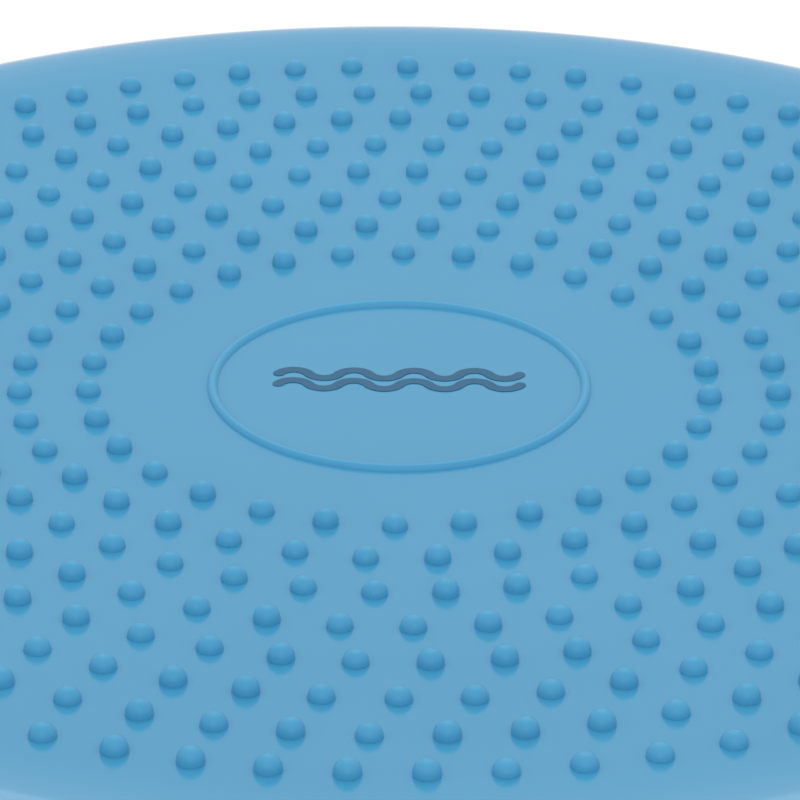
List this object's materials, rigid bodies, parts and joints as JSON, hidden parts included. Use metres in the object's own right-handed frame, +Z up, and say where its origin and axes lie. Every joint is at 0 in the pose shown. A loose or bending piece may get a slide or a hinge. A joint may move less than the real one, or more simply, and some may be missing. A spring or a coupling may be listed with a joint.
{
  "type": "wobble cushion",
  "caption": "Round air-filled balance cushion with a dished, nubbed upper skin, a welded rim bead and a plugged needle valve in its side.",
  "frame": {"origin": "centre of the flat ring-shaped face that the cushion stands on", "axes": "+Z up through the centre of the disc, +X through the valve, +Y towards the far side when the panel's mark is read"},
  "size_m": [0.33, 0.33, 0.0546],
  "materials": {
    "soft_pvc": "glossy moulded soft PVC",
    "weld_bead": "smooth melted bead of the same PVC",
    "ink": "matt printed ink",
    "valve_plastic": "semi-gloss moulded plastic",
    "valve_rubber": "matt black rubber",
    "plug_plastic": "semi-gloss white plastic"
  },
  "bodies": {
    "base": {"lower_skin": "soft_pvc", "valve_collar": "valve_plastic", "valve_core": "valve_rubber"},
    "plug": {"valve_plug": "plug_plastic"},
    "belt": {"rim_seam": "weld_bead"},
    "top": {"upper_skin": "soft_pvc", "printed_mark": "ink"}
  },
  "joints": [
    {"name": "rock_pitch", "type": "hinge", "parent": "base", "child": "belt", "pos_m": [0, 0, 0.0266], "axis": [1, 0, 0], "range_deg": [-5, 5], "stiffness_Nm_per_rad": 120, "deforming": ["lower_skin"]},
    {"name": "rock_roll", "type": "hinge", "parent": "belt", "child": "top", "pos_m": [0, 0, 0.0266], "axis": [0, 1, 0], "range_deg": [-5, 5], "stiffness_Nm_per_rad": 120, "deforming": ["upper_skin"]},
    {"name": "plug_pull", "type": "slide", "parent": "base", "child": "plug", "axis": [0.9613, 0, -0.2756], "range_m": [0, 0.012]}
  ]
}
